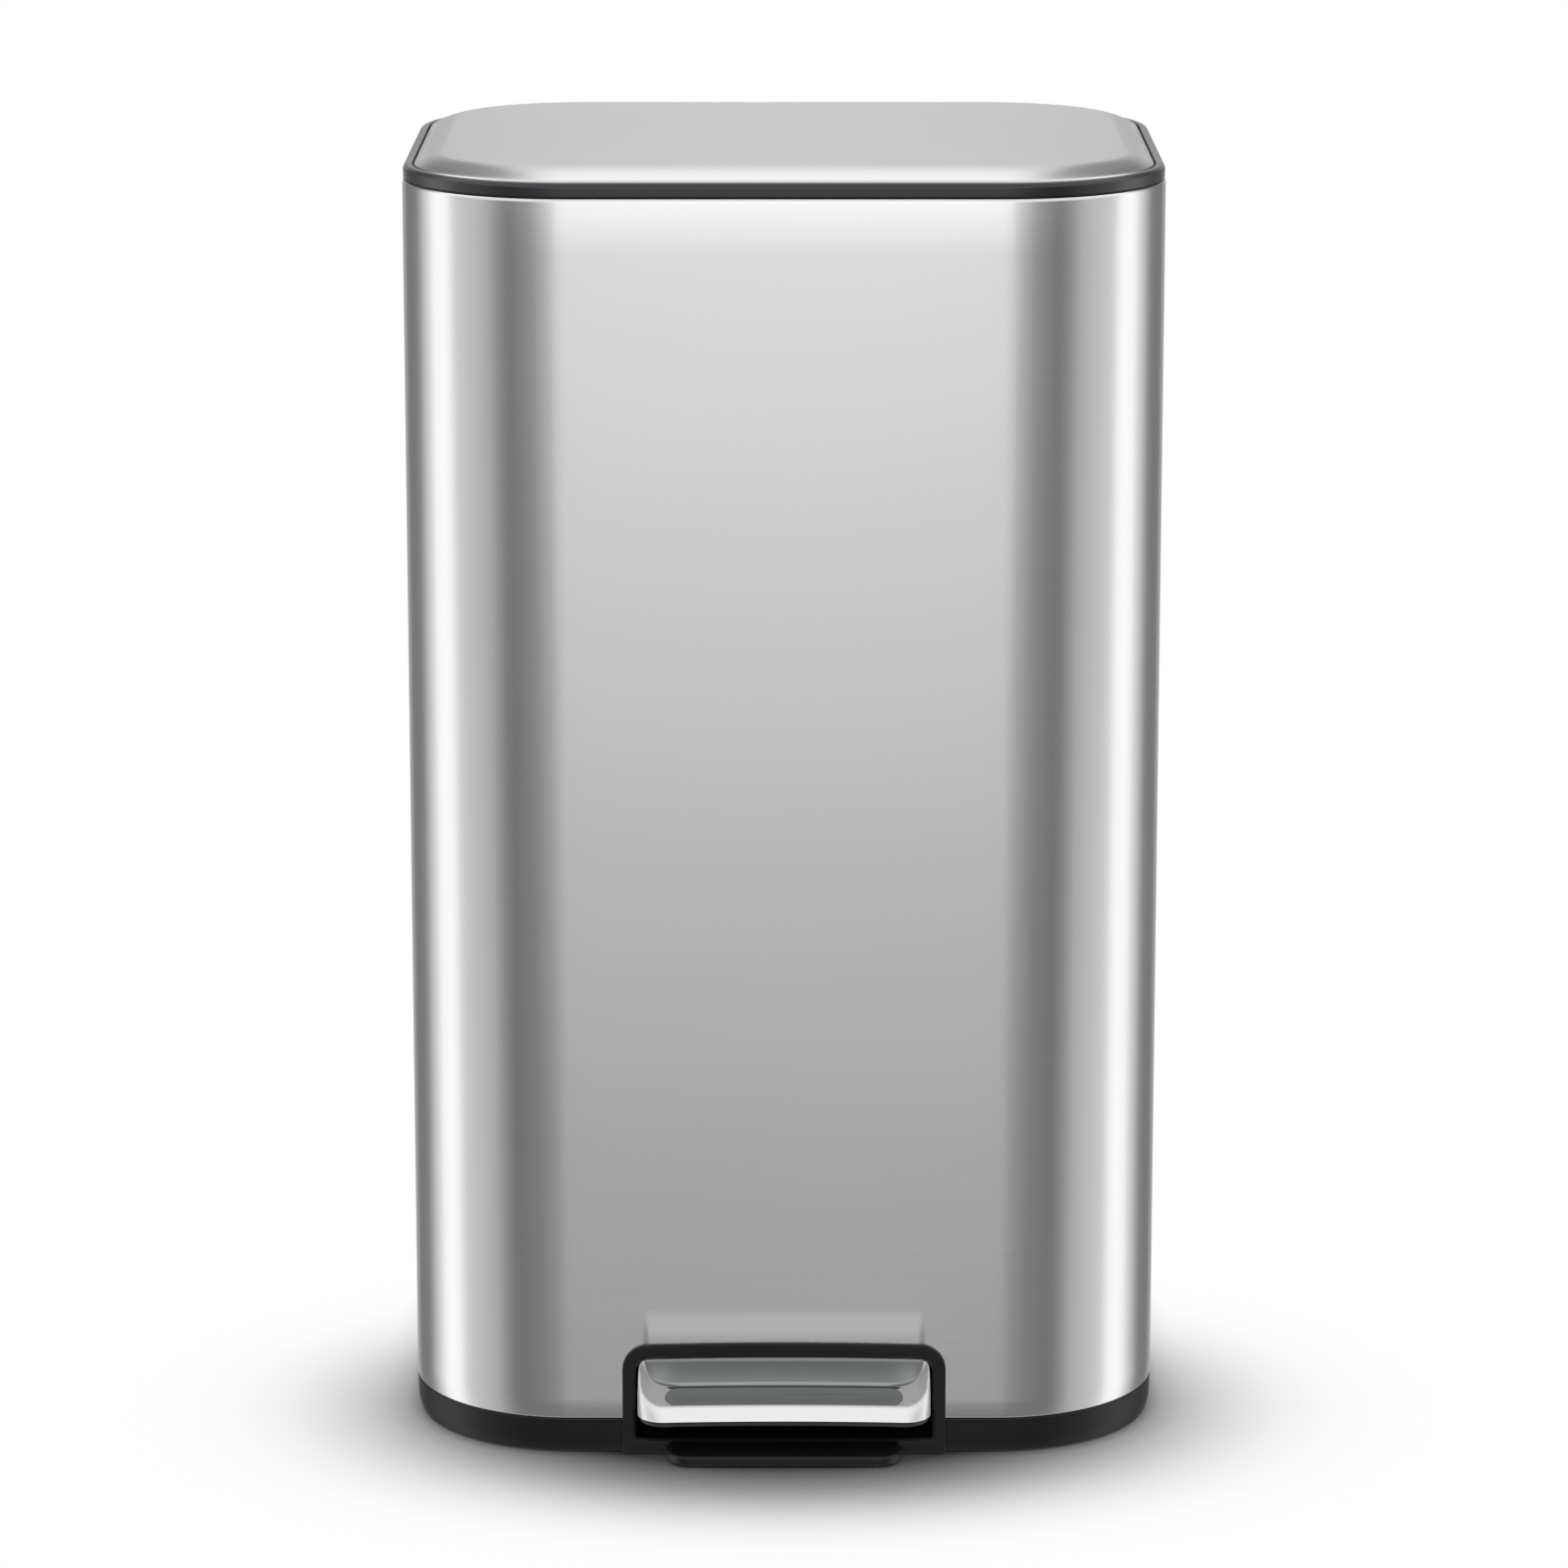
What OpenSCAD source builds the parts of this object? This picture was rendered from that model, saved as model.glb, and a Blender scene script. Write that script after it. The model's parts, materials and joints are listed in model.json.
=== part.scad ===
// Step-operated rectangular trash can: steel body, hinged steel lid, toe pedal,
// long lever, lift rod with air damper, and a removable inner bucket.
// Origin: floor centre. +X right, +Y to the rear, +Z up. Millimetres.

/* [Body] */
// Width of the steel body
body_w = 400; // [380:1:420]
// Depth of the steel body
body_d = 330; // [320:1:345]
// Radius of the upright corners
corner_r = 87; // [70:1:95]
// Height of the steel's lower edge
steel_z0 = 19.5; // [17:0.5:24]
// Height of the steel's upper edge
steel_z1 = 673; // [670:0.5:674]
// Thickness of the sheet steel
sheet_t = 0.8; // [0.6:0.1:1]

/* [Lid] */
// Angle that the open lid reaches
lid_open = 85; // [75:1:88]
// Height of the crowned lid top
lid_top_z = 687.5; // [685:0.5:690]
// Visible width of the dark lid surround
surround_w = 5.2; // [4:0.1:6]
// Gap between the surround and the steel cap
cap_gap = 1.2; // [0.6:0.1:2]

/* [Linkage] */
// Distance of the hinge line behind the body's rear face
hinge_back = 11; // [10:0.5:12]
// Height of the hinge line
hinge_z = 662; // [660:0.5:663]
// Radius from the hinge line to the crank pin
crank_r = 24; // [23:0.5:24.5]
// Position of the pedal axle along the depth
axle_y = -78; // [-84:1:-72]
// Height of the pedal axle
axle_z = 30; // [29:0.5:31]

/* [Pedal] */
// Width of the pedal
pedal_w = 156; // [140:1:156]
// Reach of the pedal ahead of the body
pedal_reach = 22; // [18:0.5:23]
// Height of the pedal's flat tread
tread_z = 37; // [36:0.5:38]

/* [Bucket] */
// Height of the inner bucket's rim
bucket_top_z = 648; // [600:1:650]
// Inward taper of the bucket's walls at the bottom
bucket_taper = 8; // [4:1:14]

/* [Hidden] */
$fn = 72;

front_y = -body_d / 2;
rear_y = body_d / 2;
cut = 1;

base_z = 2;
housing_t = 2.5;
plate_t = 2.5;
skirt_in = 3.4;
base_taper = 1.5;
deck_z = 62;
deck_t = 3;
post_xy = [150, 110];
foot_xy = [120, 125];
screw_r = 1.5;
screw_head_r = 3.2;
screw_head_h = 1.6;

collar_top = 674;
collar_drop = 19;
rear_gap_x = 64;
bumper_r = 3.4;
lid_z = 674.8;
surround_z = 681;
cap_z = 678;
cap_in = surround_w + cap_gap;
rebate_in = 14;
liner_z = 670;
liner_t = 2;

hinge_y = rear_y + hinge_back;
hinge_rod_r = 3;
run_gap = 0.05;
pin_r = 2.5;
crank_a = lid_open / 2;
crank_y = hinge_y - crank_r * cos(crank_a);
crank_z = hinge_z - crank_r * sin(crank_a);
rod_y = hinge_y - crank_r * (1 + cos(crank_a)) / 2;
rod_r = 2.5;
rod_stroke = 2 * crank_r * sin(crank_a);
head_slot_l = crank_r * (1 - cos(crank_a)) + 0.8;
head_slot_r = pin_r + 1;
foot_pin_z = axle_z - rod_stroke / 2;
axle_r = 4;
bush_r = 6;
arm_x = 45;
arm_w = 8;
cheek_x0 = 4.6;
cheek_w = 3.4;
housing_x = 80;
housing_z0 = 596;
housing_z1 = 672;
housing_back = rear_y + 22.5;
bumper_t = 1.5;
screw_z = 606;

opening_w = 157.6;
opening_z0 = 8.8;
opening_z1 = 53.5;
bezel_w = 172;
bezel_z1 = 61.7;
bezel_face = 2.2;
box_t = 2;
box_depth = 57;
notch_w = 168;
notch_z1 = 59.5;

lever_x = 10;
lever_t = 3;
lever_end_r = 5.5;
tail_play = 0.7;
tread_t = 1.2;
scoop_r = 10;
lip_r = 4;
lip_z = 27.5;
carrier_z = 23;
pedal_top_z = 52.6;
pedal_wall_y = front_y + 5;
scoop_c = [pedal_wall_y - scoop_r, tread_z + scoop_r];

bucket_z = deck_z + deck_t;
bucket_wall = 2;
bucket_w = 376;
bucket_d = 300;
bucket_y = -5;
bucket_r = 76;

damper_z = 210;
damper_l = 110;
damper_r = 6.4;
damper_wall = 1;

// Outline of the body, moved inward by a distance
module outline(inset = 0) {
    r = corner_r - inset;
    hx = body_w / 2 - corner_r;
    hy = body_d / 2 - corner_r;
    rounded(2 * (hx + r), 2 * (hy + r), r);
}

// Rectangle with round corners, centred
module rounded(w, d, r) {
    square([w - 2 * r, d], center = true);
    square([w, d - 2 * r], center = true);
    for (sx = [-1, 1], sy = [-1, 1])
        translate([sx * (w / 2 - r), sy * (d / 2 - r)]) circle(r);
}

module slab(z0, z1, inset = 0) {
    translate([0, 0, z0]) linear_extrude(z1 - z0) outline(inset);
}

module ring_slab(z0, z1, outer, inner) {
    translate([0, 0, z0]) linear_extrude(z1 - z0) difference() {
        outline(outer);
        outline(inner);
    }
}

// Box from its two extreme corners
module box(low, high) {
    translate(low) cube(high - low);
}

// Cylinder along X from x0 to x1, at a place in the side view
module x_rod(y, z, r, x0, x1) {
    translate([x0, y, z]) rotate([0, 90, 0]) cylinder(r = r, h = x1 - x0);
}

// Extrudes a side view drawn in (Y, Z) along X from x0 to x1
module side_view(x0, x1) {
    translate([x0, 0, 0]) rotate([90, 0, 90]) linear_extrude(x1 - x0) children();
}

// Extrudes a front view drawn in (X, Z) along Y from y0 to y1
module front_view(y0, y1) {
    translate([0, y1, 0]) rotate([90, 0, 0]) linear_extrude(y1 - y0) children();
}

// Straight strip between two points of a side view
module strip2d(a, b, half) {
    d = b - a;
    translate(a) rotate(atan2(d[1], d[0])) translate([0, -half]) square([norm(d), 2 * half]);
}

// Pan-head screw pointing up, its head's underside at the origin
module screw(shank) {
    translate([0, 0, -screw_head_h]) cylinder(r = screw_head_r, h = screw_head_h);
    cylinder(r = screw_r, h = shank);
}

module at_posts() {
    for (sx = [-1, 1], sy = [-1, 1]) translate([sx * post_xy[0], sy * post_xy[1], 0]) children();
}

module steel_shell() {
    color("silver") union() {
        difference() {
            ring_slab(steel_z0, steel_z1, 0, sheet_t);
            front_view(front_y - cut, front_y + 20) translate([0, (notch_z1 + steel_z0) / 2 - 10])
                rounded(notch_w, notch_z1 - steel_z0 + 20, 9);
            box([-rear_gap_x, rear_y - 5, 615], [rear_gap_x, rear_y + cut, steel_z1 + cut]);
        }
        relief();
    }
}

// Shallow pressed swelling of the front sheet above the pedal opening
module relief() {
    relief_h = 18;
    relief_out = 0.75;
    side_view(-75, 75) polygon([
        [front_y + 0.1, bezel_z1 + 0.6],
        [front_y - relief_out, bezel_z1 + 0.6],
        [front_y - relief_out, bezel_z1 + 4],
        [front_y + 0.1, bezel_z1 + relief_h]
    ]);
}

module base_ring() {
    color("#26272a") difference() {
        union() {
            hull() {
                slab(base_z, base_z + 1, base_taper, $fn = 96);
                slab(steel_z0 - 0.3, steel_z0, 0, $fn = 96);
            }
            slab(steel_z0 - 0.1, deck_z, sheet_t + 0.3);
        }
        slab(base_z - cut, deck_z + cut, skirt_in);
        box([-opening_w / 2 - box_t - 0.3, front_y - cut, 0], [opening_w / 2 + box_t + 0.3, 0, deck_z + cut]);
    }
}

module base_plate() {
    color("#1d1e20") difference() {
        slab(base_z, base_z + plate_t, skirt_in + 0.1);
        box([-61, front_y, 0], [61, -119.5, 10]);
        at_posts() cylinder(r = screw_r + 0.2, h = 10);
    }
}

module rubber_feet() {
    color("#111111") for (sx = [-1, 1], sy = [-1, 1])
        translate([sx * foot_xy[0], sy * foot_xy[1], 0]) cylinder(r = 10, h = base_z);
}

module base_screws() {
    color("gray") at_posts() translate([0, 0, base_z]) screw(12);
}

module anti_tip_foot() {
    color("#202123") difference() {
        translate([0, -154.5, 1.2]) linear_extrude(5.6) rounded(121.2, 69, 9);
        for (i = [-2:2]) box([i * 22 - 8, -150, 0], [i * 22 + 8, -126, 4]);
    }
}

module pedal_housing() {
    color("#18191b") difference() {
        union() {
            front_view(front_y - bezel_face, front_y - run_gap)
                translate([0, (base_z + bezel_z1) / 2]) rounded(bezel_w, bezel_z1 - base_z, 11);
            front_view(front_y - cut, front_y + box_depth) translate([0, (opening_z0 + opening_z1) / 2])
                square([opening_w + 2 * box_t, opening_z1 - opening_z0 + 2 * box_t - 0.2], center = true);
        }
        front_view(front_y - 5, front_y + 4) translate([0, (opening_z0 + opening_z1) / 2])
            rounded(opening_w, opening_z1 - opening_z0, 7);
        box(
            [-opening_w / 2, front_y + 2, opening_z0],
            [opening_w / 2, front_y + box_depth - box_t, opening_z1]
        );
        box([-18, front_y, 12], [18, front_y + box_depth + cut, 46]);
        box([-61, front_y - 5, 0], [61, front_y + cut, 7.2]);
    }
}

module axle_block(side) {
    color("#2b2c2f") difference() {
        translate([side * 28, axle_y, base_z + plate_t]) linear_extrude(36) square([12, 26], center = true);
        x_rod(axle_y, axle_z, axle_r, side * 28 - 10, side * 28 + 10);
    }
}

module axle_block_left() { axle_block(-1); }
module axle_block_right() { axle_block(1); }

module pedal_axle() {
    color("lightgray") difference() {
        x_rod(axle_y, axle_z, axle_r, -40, 40);
        for (s = [-1, 1]) difference() {
            x_rod(axle_y, axle_z, axle_r + cut, s * 36.4 - 0.5, s * 36.4 + 0.5);
            x_rod(axle_y, axle_z, axle_r - 0.8, s * 36.4 - 2, s * 36.4 + 2);
        }
    }
}

module axle_clips() {
    color("dimgray") for (s = [-1, 1]) difference() {
        x_rod(axle_y, axle_z, axle_r + 3, s * 36.4 - 0.4, s * 36.4 + 0.4);
        x_rod(axle_y, axle_z, axle_r - 0.8, s * 36.4 - 2, s * 36.4 + 2);
        box([-60, axle_y - 2.6, axle_z - 20], [60, axle_y + 2.6, axle_z]);
    }
}

module bucket_deck() {
    color("#2a2b2e") difference() {
        union() {
            slab(deck_z, deck_z + deck_t, sheet_t + 0.3);
            at_posts() translate([0, 0, base_z + plate_t]) cylinder(r = 7, h = deck_z - base_z - plate_t);
        }
        box([-17, 140, deck_z - cut], [17, rear_y - 3, deck_z + 10]);
        at_posts() cylinder(r = screw_r, h = 20);
    }
}

module top_collar() {
    color("#1b1c1e") difference() {
        union() {
            ring_slab(collar_top - collar_drop, collar_top, sheet_t + 0.2, 3.8);
            ring_slab(steel_z1, collar_top, 0.9, 3.8);
            for (p = bumper_places())
                translate([p[0], p[1], collar_top - 4]) cylinder(r = bumper_r + 2, h = 4);
        }
        for (p = bumper_places()) translate([p[0], p[1], collar_top - 2]) cylinder(r = bumper_r + 0.1, h = 5);
        box([-rear_gap_x, rear_y - 12, 600], [rear_gap_x, rear_y + cut, collar_top + cut]);
    }
}

function bumper_places() = [for (s = [-1, 1]) [s * 95, front_y + 7.2]];

module lid_bumpers() {
    color("#55575a") for (p = bumper_places())
        translate([p[0], p[1], collar_top - 2]) cylinder(r = bumper_r, h = 2.5);
}

module hinge_housing() {
    color("#202124") difference() {
        box([-housing_x, rear_y + 0.05, housing_z0], [housing_x, housing_back, housing_z1]);
        box(
            [-housing_x + 3, rear_y - cut, housing_z0 + 3],
            [housing_x - 3, housing_back - housing_t, housing_z1 - 3]
        );
        box(
            [-rear_gap_x, rear_y - cut, housing_z1 - 4],
            [rear_gap_x, housing_back - housing_t, housing_z1 + cut]
        );
        for (s = [-1, 1])
            box([s * arm_x - 7, rear_y, hinge_z], [s * arm_x + 7, rear_y + 30, housing_z1 + cut]);
        at_housing_screws() {
            cylinder(r = screw_r, h = 40, center = true);
            translate([0, 0, -4]) cylinder(r = screw_head_r + 0.1, h = 4);
        }
    }
    for (s = [-1, 1]) color("#202124") difference() {
        translate([s * 60, housing_back - housing_t, screw_z]) rotate([90, 0, 0])
            cylinder(r = 5, h = housing_back - rear_y - housing_t - 0.05);
        translate([s * 60, housing_back, screw_z]) rotate([90, 0, 0]) cylinder(r = screw_r, h = 40);
    }
}

// Places children at each housing screw, with +Z pointing into the housing
module at_housing_screws() {
    for (s = [-1, 1]) translate([s * 60, housing_back - screw_head_h, screw_z]) rotate([90, 0, 0]) children();
}

module housing_screws() {
    color("gray") at_housing_screws() screw(14);
}

module hinge_bracket(side) {
    x0 = side * 56 - 1.5;
    color("gainsboro") difference() {
        union() {
            side_view(x0, x0 + 3) union() {
                translate([hinge_y, hinge_z]) circle(7);
                strip2d([hinge_y, hinge_z], [hinge_y - 3, hinge_z - 36], 5);
                translate([rear_y + 0.5, hinge_z - 43]) square([8, 26]);
            }
            box([side * 63.5 - 9, rear_y + 0.1, hinge_z - 46], [side * 63.5 + 9, rear_y + 2.1, hinge_z - 14]);
        }
        x_rod(hinge_y, hinge_z, hinge_rod_r, x0 - cut, x0 + 5);
    }
}

module hinge_bracket_left() { hinge_bracket(-1); }
module hinge_bracket_right() { hinge_bracket(1); }

module hinge_rod() {
    color("lightgray") x_rod(hinge_y, hinge_z, hinge_rod_r, -62, 62);
}

module wall_bumpers() {
    color("#3a3b3d") for (s = [-1, 1]) translate([s * 60, housing_back + bumper_t, 636])
        rotate([90, 0, 0]) cylinder(r = 8, h = bumper_t);
}

module rod_cover() {
    half = 17;
    color("#2a2b2e") difference() {
        box([-half, rod_y - 8.8, bucket_z + 2], [half, rear_y - sheet_t - 0.1, 590]);
        box([-half + 1.2, rod_y - 7.6, 0], [half - 1.2, rear_y, 600]);
    }
}

module rod_guides() {
    color("ivory") for (z = [110, 560]) difference() {
        box([-15.7, rod_y - 7.5, z], [15.7, rear_y - sheet_t - 0.2, z + 10]);
        translate([0, rod_y, 0]) cylinder(r = rod_r + run_gap, h = 700);
    }
}

module damper_cylinder() {
    color("#3b3d40") translate([0, rod_y, damper_z]) difference() {
        union() {
            cylinder(r = damper_r, h = damper_l);
            for (z = [20, damper_l - 30]) translate([-15.7, -3, z]) cube([31.4, 6, 10]);
        }
        translate([0, 0, -cut]) cylinder(r = damper_r - damper_wall, h = damper_l + 2 * cut);
    }
}

module damper_caps() {
    color("#17181a") for (z = [damper_z - 3, damper_z + damper_l]) difference() {
        translate([0, rod_y, z]) cylinder(r = damper_r, h = 3);
        translate([0, rod_y, z - cut]) cylinder(r = rod_r + run_gap, h = 6);
    }
}

// Crowned cap outline at one level of the pressing
module cap_shape(shrink, drop) {
    slab(cap_z - drop, cap_z + 3.5 - drop, cap_in + shrink, $fn = 64);
    slab(cap_z + 3.5 - drop, cap_z + 5.4 - drop, cap_in + 5 + shrink, $fn = 64);
    slab(cap_z + 3.5 - drop, lid_top_z - 1.5 - drop, cap_in + 20 + shrink, $fn = 64);
    slab(cap_z + 3.5 - drop, lid_top_z - drop, cap_in + 55 + shrink, $fn = 64);
}

module lid_cover() {
    color("gainsboro") difference() {
        hull() cap_shape(0, 0);
        hull() cap_shape(sheet_t, sheet_t);
    }
}

module lid_surround() {
    color("#3c3e41") difference() {
        slab(lid_z, surround_z, 0.5);
        slab(cap_z, surround_z + cut, surround_w);
        slab(lid_z - cut, surround_z, rebate_in);
    }
}

module lid_liner() {
    color("#2e3033") difference() {
        slab(liner_z, cap_z - 0.4, rebate_in);
        slab(liner_z + liner_t, surround_z, rebate_in + 2);
        box([-rear_gap_x, rear_y - 27, liner_z - cut], [rear_gap_x, rear_y, surround_z]);
        for (p = liner_places()) translate([p[0], p[1], 600]) cylinder(r = screw_r + 0.1, h = 100);
    }
}

function liner_places() = [for (sx = [-1, 1], y = [-110, 100]) [sx * 140, y]];

module liner_screws() {
    color("gray") for (p = liner_places()) translate([p[0], p[1], liner_z]) screw(7);
}

module lid_hinge_arm() {
    plate_z = lid_z - 2.5;
    plate_y = rear_y - 26;
    color("#a9abad") difference() {
        union() {
            box([-62, plate_y, plate_z], [62, rear_y - 1.5, lid_z - 0.05]);
            for (s = [-1, 1]) side_view(s * arm_x - arm_w / 2, s * arm_x + arm_w / 2) union() {
                translate([hinge_y, hinge_z]) circle(6);
                polygon([
                    [hinge_y, hinge_z - 3.5],
                    [hinge_y + 3, hinge_z + 3],
                    [rear_y - 2.5, lid_z - 0.6],
                    [rear_y - 16, lid_z - 0.6],
                    [rear_y - 16, plate_z - 1],
                    [rear_y - 8, plate_z - 3]
                ]);
            }
            for (s = [-1, 1]) cheek(s, plate_z);
        }
        x_rod(hinge_y, hinge_z, hinge_rod_r + run_gap, -70, 70);
        x_rod(crank_y, crank_z, pin_r, -20, 20);
    }
}

// One side plate of the crank that drives the lid
module cheek(s, plate_z) {
    x0 = s > 0 ? cheek_x0 : -cheek_x0 - cheek_w;
    side_view(x0, x0 + cheek_w) union() {
        translate([hinge_y, hinge_z]) circle(6);
        translate([crank_y, crank_z]) circle(5);
        strip2d([hinge_y, hinge_z], [crank_y, crank_z], 4);
        polygon([
            [crank_y - 3, crank_z],
            [hinge_y - 2, hinge_z - 2],
            [hinge_y + 1, hinge_z + 4],
            [rear_y - 5, plate_z + 1],
            [rear_y - 18, plate_z + 1],
            [rear_y - 17, plate_z - 4]
        ]);
    }
}

module crank_pin() {
    reach = cheek_x0 + cheek_w;
    color("lightgray") x_rod(crank_y, crank_z, pin_r, -reach, reach);
}

// Side view of the pressed tread: rear wall, scoop, flat, lip and front face
module tread_profile(t) {
    lip_y = front_y - pedal_reach + lip_r;
    translate([pedal_wall_y, scoop_c[1]]) square([t, pedal_top_z - scoop_c[1]]);
    intersection() {
        difference() {
            translate(scoop_c) circle(scoop_r + t);
            translate(scoop_c) circle(scoop_r);
        }
        translate(scoop_c - [0, scoop_r + t]) square(scoop_r + t);
    }
    translate([lip_y, tread_z - t]) square([scoop_c[0] - lip_y, t]);
    intersection() {
        difference() {
            translate([lip_y, tread_z - lip_r]) circle(lip_r);
            translate([lip_y, tread_z - lip_r]) circle(lip_r - t);
        }
        translate([lip_y - lip_r, tread_z - lip_r]) square(lip_r);
    }
    translate([lip_y - lip_r, lip_z]) square([t, tread_z - lip_r - lip_z]);
}

// Trims a pedal piece to its rounded plan and rounded front view
module pedal_trim(inset) {
    w = pedal_w - 2 * inset;
    reach = pedal_reach - inset;
    z0 = carrier_z - 1;
    intersection() {
        children();
        translate([0, front_y - reach + 40, 0]) linear_extrude(100) rounded(w, 80, 12);
        front_view(front_y - 60, front_y + 80) translate([0, (z0 + pedal_top_z) / 2])
            rounded(w, pedal_top_z - z0 - 2 * inset, 6);
    }
}

module pedal_tread() {
    color("whitesmoke") pedal_trim(0) side_view(-90, 90) tread_profile(tread_t);
}

// Side view of the plastic carrier, cut away where the tread lies on it
module carrier_profile() {
    front = front_y - pedal_reach + tread_t;
    back = pedal_wall_y + 7;
    high = 60;
    difference() {
        translate([front, carrier_z]) square([back - front, pedal_top_z - 2 - carrier_z]);
        translate(scoop_c) circle(scoop_r + tread_t);
        translate([front - cut, tread_z - tread_t]) square([scoop_c[0] - front + cut, high]);
        translate([front - cut, scoop_c[1]]) square([pedal_wall_y + tread_t - front + cut, high]);
        translate([front - cut, tread_z - lip_r]) square([lip_r + cut, high]);
    }
}

module pedal_carrier() {
    lever_top = tread_z - 4;
    lever_half = lever_x + lever_t + 0.1;
    color("#2c2d30") difference() {
        pedal_trim(0.6) side_view(-90, 90) carrier_profile();
        box([-lever_half, front_y - 8, carrier_z - cut], [lever_half, front_y + 30, lever_top]);
        for (y = pedal_screw_y()) translate([0, y, 25]) cylinder(r = screw_r, h = 10.3);
    }
}

function pedal_screw_y() = [front_y - 2, front_y + 8];

module pedal_screws() {
    color("gray") for (y = pedal_screw_y()) translate([0, y, tread_z - 6]) screw(4);
}

module pedal_lever() {
    top = tread_z - 4;
    tail = [rod_y, foot_pin_z];
    color("gainsboro") difference() {
        union() {
            for (x = [-lever_x - lever_t, lever_x]) side_view(x, x + lever_t) union() {
                translate([front_y - 7.5, top - 8]) square([axle_y - front_y + 7.5, 8]);
                translate([axle_y, axle_z]) circle(9);
                strip2d([axle_y, axle_z - 1], tail, lever_end_r - 1);
                translate(tail) circle(lever_end_r);
            }
            box([-lever_x - 0.5, front_y - 7, top - 2], [lever_x + 0.5, axle_y - 12, top - 0.2]);
            side_view(-lever_x - 0.5, lever_x + 0.5) strip2d([axle_y + 16, axle_z - 1], tail + [-16, 1], 1);
        }
        x_rod(axle_y, axle_z, bush_r, -20, 20);
        for (y = pedal_screw_y()) translate([0, y, top - 10]) cylinder(r = screw_r + 0.1, h = 20);
        x_rod(rod_y, foot_pin_z, pin_r + tail_play, -20, 20);
    }
}

module lever_bushes() {
    color("ivory") for (s = [-1, 1]) difference() {
        union() {
            x_rod(axle_y, axle_z, bush_r, s * 12 - 3, s * 12 + 3);
            x_rod(axle_y, axle_z, bush_r + 2, s * 14.5 - 1.4, s * 14.5 + 1.4);
        }
        x_rod(axle_y, axle_z, axle_r + run_gap, -30, 30);
    }
}

module lift_rod() {
    color("lightgray") translate([0, rod_y, foot_pin_z + 6])
        cylinder(r = rod_r, h = crank_z - foot_pin_z - 12.5);
}

module rod_head() {
    color("#17181a") difference() {
        side_view(-4, 4) union() {
            translate([rod_y - head_slot_l / 2 - 5.5, crank_z - 6]) square([head_slot_l + 11, 12]);
            translate([rod_y - 4.5, crank_z - 16]) square([9, 12]);
        }
        hull() for (s = [-1, 1]) x_rod(rod_y + s * head_slot_l / 2, crank_z, head_slot_r, -8, 8, $fn = 32);
        translate([0, rod_y, crank_z - 20]) cylinder(r = rod_r, h = 13.5);
    }
}

module rod_foot() {
    color("#17181a") difference() {
        box([-8.5, rod_y - 4.5, foot_pin_z - 4.5], [8.5, rod_y + 4.5, foot_pin_z + 18]);
        x_rod(rod_y, foot_pin_z, pin_r, -20, 20);
        translate([0, rod_y, foot_pin_z + 6]) cylinder(r = rod_r, h = 30);
    }
}

module rod_foot_pin() {
    color("lightgray") x_rod(rod_y, foot_pin_z, pin_r, -14.5, 14.5);
}

module damper_piston() {
    color("ivory") difference() {
        translate([0, rod_y, damper_z + 12]) cylinder(r = damper_r - damper_wall - 0.1, h = 10);
        translate([0, rod_y, damper_z]) cylinder(r = rod_r, h = 40);
    }
}

module bucket_level(z0, z1, shrink) {
    translate([0, bucket_y, z0]) linear_extrude(z1 - z0)
        rounded(bucket_w - 2 * shrink, bucket_d - 2 * shrink, bucket_r - shrink, $fn = 64);
}

module inner_bucket() {
    color("#33353a") difference() {
        union() {
            hull() {
                bucket_level(bucket_z + 0.2, bucket_z + 1, bucket_taper + 4);
                bucket_level(bucket_z + 6, bucket_z + 7, bucket_taper);
                bucket_level(bucket_top_z - 8, bucket_top_z - 2, 4);
            }
            bucket_level(bucket_top_z - 2, bucket_top_z, 0);
        }
        hull() {
            bucket_level(bucket_z + 3, bucket_z + 4, bucket_taper + 6);
            bucket_level(bucket_top_z - 8, bucket_top_z + cut, 4 + bucket_wall);
        }
        for (s = [-1, 1]) box([s * 188 - 12, -45, bucket_top_z - 34], [s * 188 + 12, 35, bucket_top_z - 14]);
    }
}

module bag_ring() {
    color("#4a4d52") difference() {
        union() {
            bucket_level(bucket_top_z + 0.05, bucket_top_z + 3, 1);
            bucket_level(bucket_top_z - 10, bucket_top_z + 3, 4 + bucket_wall + 0.3);
        }
        bucket_level(bucket_top_z - 12, bucket_top_z + 5, 4 + bucket_wall + 2.3);
    }
}

steel_shell();
base_ring();
base_plate();
rubber_feet();
base_screws();
anti_tip_foot();
pedal_housing();
axle_block_left();
axle_block_right();
pedal_axle();
axle_clips();
bucket_deck();
top_collar();
lid_bumpers();
hinge_housing();
housing_screws();
hinge_bracket_left();
hinge_bracket_right();
hinge_rod();
wall_bumpers();
rod_cover();
rod_guides();
damper_cylinder();
damper_caps();
lid_cover();
lid_surround();
lid_liner();
liner_screws();
lid_hinge_arm();
crank_pin();
pedal_tread();
pedal_carrier();
pedal_lever();
lever_bushes();
pedal_screws();
lift_rod();
rod_head();
rod_foot();
rod_foot_pin();
damper_piston();
inner_bucket();
bag_ring();
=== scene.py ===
"""Looks of the pedal trash can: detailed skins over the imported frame, materials, floor, light and camera."""
import json
import math

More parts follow.
